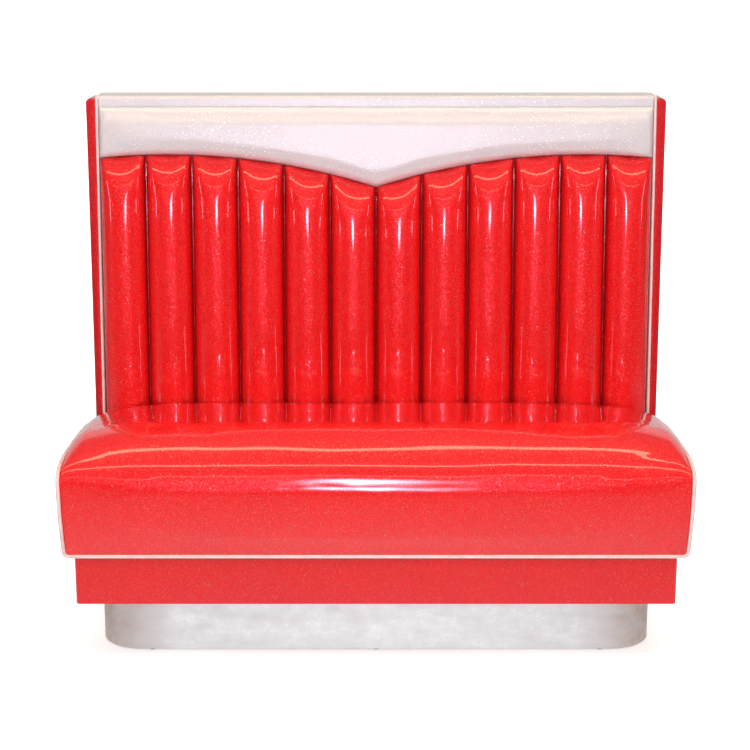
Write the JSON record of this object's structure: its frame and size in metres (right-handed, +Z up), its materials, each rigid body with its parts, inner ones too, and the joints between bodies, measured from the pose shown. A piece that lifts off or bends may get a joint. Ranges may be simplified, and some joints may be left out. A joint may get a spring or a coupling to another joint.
{
  "type": "restaurant booth seating",
  "caption": "Single-sided upholstered restaurant booth: channelled, reclined back under a V headrest, lift-off crowned seat, boxed apron and recessed metal kick.",
  "frame": {"origin": "on the floor, under the middle of the booth's overall box", "axes": "+Z up, +X along the booth's width, +Y from the seat's front to the back; the booth faces -Y"},
  "size_m": [1.219, 0.635, 1.067],
  "materials": {
    "red_vinyl": "glossy metal-flake upholstery vinyl",
    "white_vinyl": "glossy silver-flake upholstery vinyl",
    "piping_vinyl": "smooth glossy welt",
    "kick_metal": "worn mill-finish sheet",
    "plywood": "bare plywood",
    "hardwood": "planed, bare",
    "hardboard": "smooth hardboard",
    "foam": "polyurethane foam",
    "webbing": "elastic webbing",
    "dust_cloth": "black non-woven cloth",
    "fastener_steel": "zinc plated",
    "glide_plastic": "moulded nylon"
  },
  "bodies": {
    "base": {"apron_cover": "red_vinyl", "apron_front_board": "plywood", "apron_left_board": "plywood", "apron_right_board": "plywood", "back_board": "plywood", "back_piping_left": "piping_vinyl", "back_piping_right": "piping_vinyl", "back_rail": "plywood", "back_ribs": "plywood", "base_deck": "plywood", "channel_back": "red_vinyl", "floor_glides": "glide_plastic", "frame_bolts": "fastener_steel", "headrest_pad": "white_vinyl", "kick_corner_blocks": "plywood", "kick_front_board": "plywood", "kick_left_board": "plywood", "kick_rear_board": "plywood", "kick_ribs": "plywood", "kick_right_board": "plywood", "kick_sheet": "kick_metal", "kick_sheet_screws": "fastener_steel", "middle_bearer": "plywood", "rear_bearer": "plywood", "rear_panel_board": "hardboard", "rear_panel_cover": "red_vinyl", "top_cap": "white_vinyl", "top_rail": "plywood", "wing_cover_left": "red_vinyl", "wing_cover_right": "red_vinyl", "wing_left": "plywood", "wing_right": "plywood"},
    "seat": {"seat_cleats": "hardwood", "seat_cover": "red_vinyl", "seat_cross_rails": "hardwood", "seat_dust_cloth": "dust_cloth", "seat_foam": "foam", "seat_front_rail": "hardwood", "seat_left_rail": "hardwood", "seat_piping_front": "piping_vinyl", "seat_piping_left": "piping_vinyl", "seat_piping_right": "piping_vinyl", "seat_rear_rail": "hardwood", "seat_right_rail": "hardwood", "seat_webbing_across": "webbing", "seat_webbing_along": "webbing"}
  },
  "joints": [
    {"name": "seat_lift", "type": "slide", "parent": "base", "child": "seat", "axis": [0, 0, 1], "range_m": [0, 0.15]}
  ]
}
